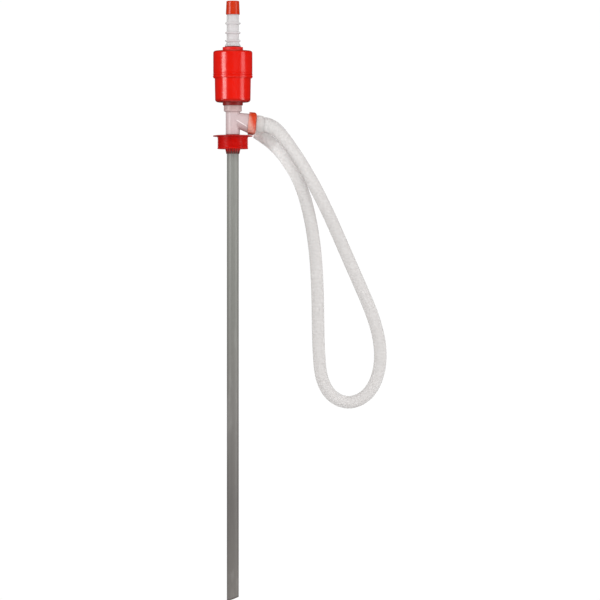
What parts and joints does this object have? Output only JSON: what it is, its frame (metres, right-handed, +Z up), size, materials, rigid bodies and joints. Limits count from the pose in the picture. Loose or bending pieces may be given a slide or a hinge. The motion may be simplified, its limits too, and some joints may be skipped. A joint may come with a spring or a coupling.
{
  "type": "hand siphon pump",
  "caption": "Hand siphon pump for drums: telescoping bellows head with vent cap, tee with valves, bung adapter, slant-cut suction tube and corrugated discharge hose.",
  "frame": {"origin": "on the pump's axis, at the underside of the bung adapter's flange, where it sits on the drum", "axes": "+Z up along the pump's axis, towards the vent cap; +X towards the side spout and hose"},
  "size_m": [0.3408, 0.0815, 1.1765],
  "materials": {
    "cup_red": "glossy moulded red plastic",
    "cap_red": "satin moulded red plastic",
    "adapter_red": "satin moulded deep red plastic",
    "nut_orange_red": "slightly translucent orange-red plastic",
    "tube_grey": "extruded grey PVC, faint lengthwise die lines",
    "milky_body": "translucent milky polyethylene",
    "milky_stem": "translucent milky polyethylene",
    "hose_vinyl": "translucent flexible vinyl, corrugated",
    "bellows_natural": "flexible natural polyethylene",
    "natural_fitting": "natural nylon",
    "white_fitting": "white moulded plastic",
    "black_rubber": "black nitrile rubber",
    "bright_steel": "stainless band and pin"
  },
  "bodies": {
    "adapter": {"bung_adapter": "adapter_red"},
    "seal": {"tube_seal_ring": "black_rubber"},
    "pump": {"suction_tube": "tube_grey", "tee_body": "milky_body", "tube_gasket": "black_rubber", "suction_valve_seat": "white_fitting", "ball_cage": "natural_fitting", "outlet_valve_seat": "white_fitting", "flap_pin": "bright_steel", "outlet_nut": "nut_orange_red", "hose_tail": "white_fitting", "hose_cuff": "hose_vinyl", "hose": "hose_vinyl", "hose_tie": "natural_fitting", "lower_cup": "cup_red", "guide_ring": "white_fitting", "body_gasket": "black_rubber", "body_lock_nut": "white_fitting", "bellows_clamp_lower": "bright_steel"},
    "head": {"upper_cup": "cup_red", "grip_stem": "milky_stem", "stem_gasket": "black_rubber", "stem_lock_nut": "white_fitting", "bellows_clamp_upper": "bright_steel", "bellows": "bellows_natural"},
    "liner": {"vent_cap_liner": "black_rubber"},
    "cap": {"vent_cap": "cap_red"},
    "ball": {"suction_ball": "black_rubber"},
    "flap": {"outlet_flap": "black_rubber"}
  },
  "joints": [
    {"name": "swivel", "type": "hinge", "parent": "adapter", "child": "seal", "pos_m": [0, 0, 0], "axis": [0, 0, 1], "continuous": true},
    {"name": "tube_slide", "type": "slide", "parent": "seal", "child": "pump", "axis": [0, 0, 1], "range_m": [0, 0.8]},
    {"name": "cup_stroke", "type": "slide", "parent": "pump", "child": "head", "axis": [0, 0, 1], "range_m": [-0.036, 0], "stiffness_N_per_m": 150, "springref_m": 0.02, "deforming": ["bellows"]},
    {"name": "cap_lift", "type": "slide", "parent": "head", "child": "liner", "axis": [0, 0, 1], "range_m": [0, 0.0091]},
    {"name": "cap_turn", "type": "hinge", "parent": "liner", "child": "cap", "pos_m": [0, 0, 0.25], "axis": [0, 0, 1], "range_deg": [0, 1080]},
    {"name": "ball_lift", "type": "slide", "parent": "pump", "child": "ball", "axis": [0, 0, 1], "range_m": [0, 0.005]},
    {"name": "flap_swing", "type": "hinge", "parent": "pump", "child": "flap", "pos_m": [0.03657, 0, 0.0359], "axis": [0, -1, 0], "range_deg": [0, 35], "stiffness_Nm_per_rad": 0.0002, "springref_deg": -17.19}
  ],
  "couplings": [
    {"joint": "cap_lift", "follows": "cap_turn", "m_per_rad": 0.00047746}
  ]
}
